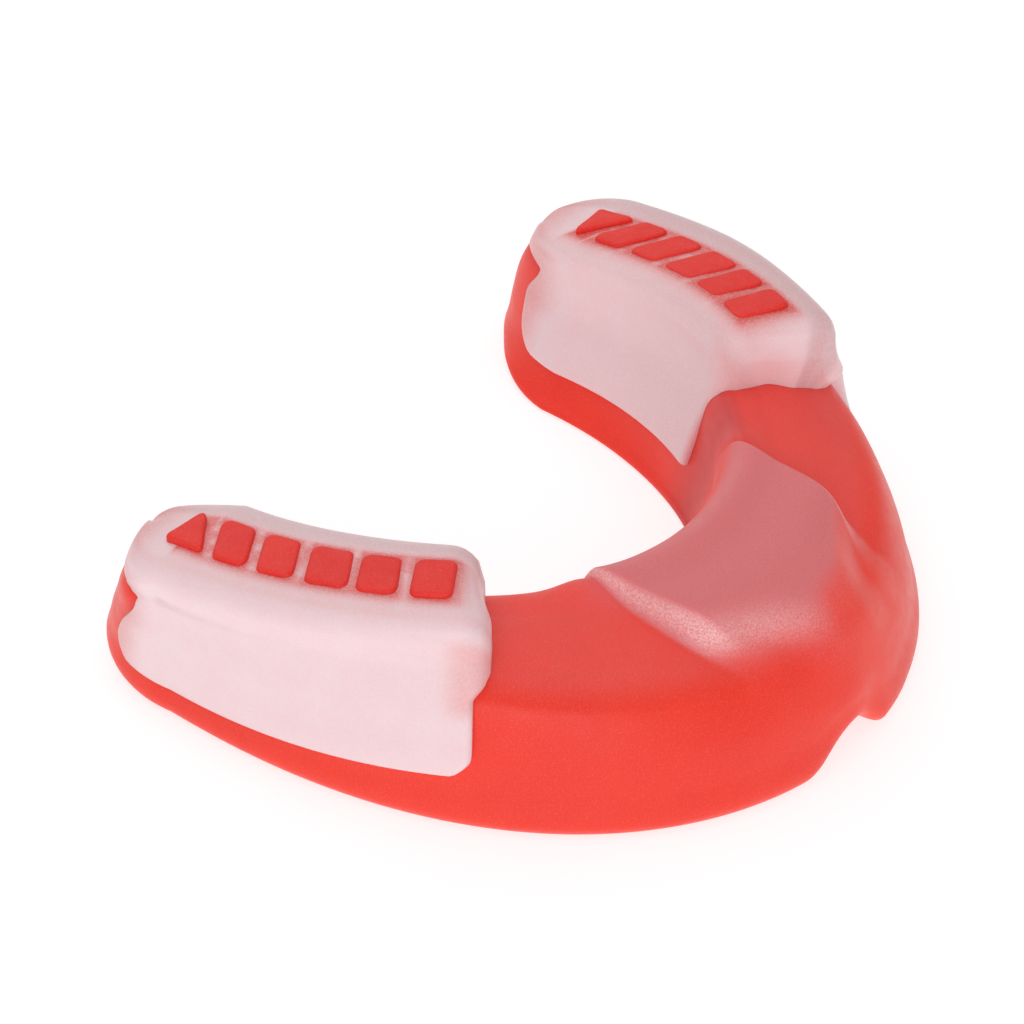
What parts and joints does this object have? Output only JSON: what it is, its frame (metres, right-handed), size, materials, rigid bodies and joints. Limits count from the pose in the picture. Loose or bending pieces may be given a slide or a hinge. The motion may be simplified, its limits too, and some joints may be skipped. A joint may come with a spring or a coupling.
{
  "type": "mouthguard",
  "caption": "Boil-and-fit sports mouthguard: red U-shaped gel shell with a lined tooth channel, clear saddle pads on both arms and red bite studs through their windows.",
  "frame": {"origin": "middle of the outline on the plane of the tooth channel's rim, which is the face it rests on", "axes": "+X across the mouth to the wearer's left, -Y to the front teeth, +Z from the rim to the bite side"},
  "size_m": [0.062, 0.0545, 0.0173],
  "materials": {
    "red_gel": "satin",
    "liner_red": "satin",
    "clear_gel": "satin",
    "core_red": "satin",
    "stud_red": "matte"
  },
  "bodies": {
    "root": {"outer_shell": "red_gel", "fit_liner": "liner_red", "right_molar_pad": "clear_gel", "right_bite_core": "core_red", "right_bite_stud_1": "stud_red", "right_bite_stud_2": "stud_red", "right_bite_stud_3": "stud_red", "right_bite_stud_4": "stud_red", "right_bite_stud_5": "stud_red", "right_bite_stud_6": "stud_red", "left_molar_pad": "clear_gel", "left_bite_core": "core_red", "left_bite_stud_1": "stud_red", "left_bite_stud_2": "stud_red", "left_bite_stud_3": "stud_red", "left_bite_stud_4": "stud_red", "left_bite_stud_5": "stud_red", "left_bite_stud_6": "stud_red"}
  },
  "joints": []
}
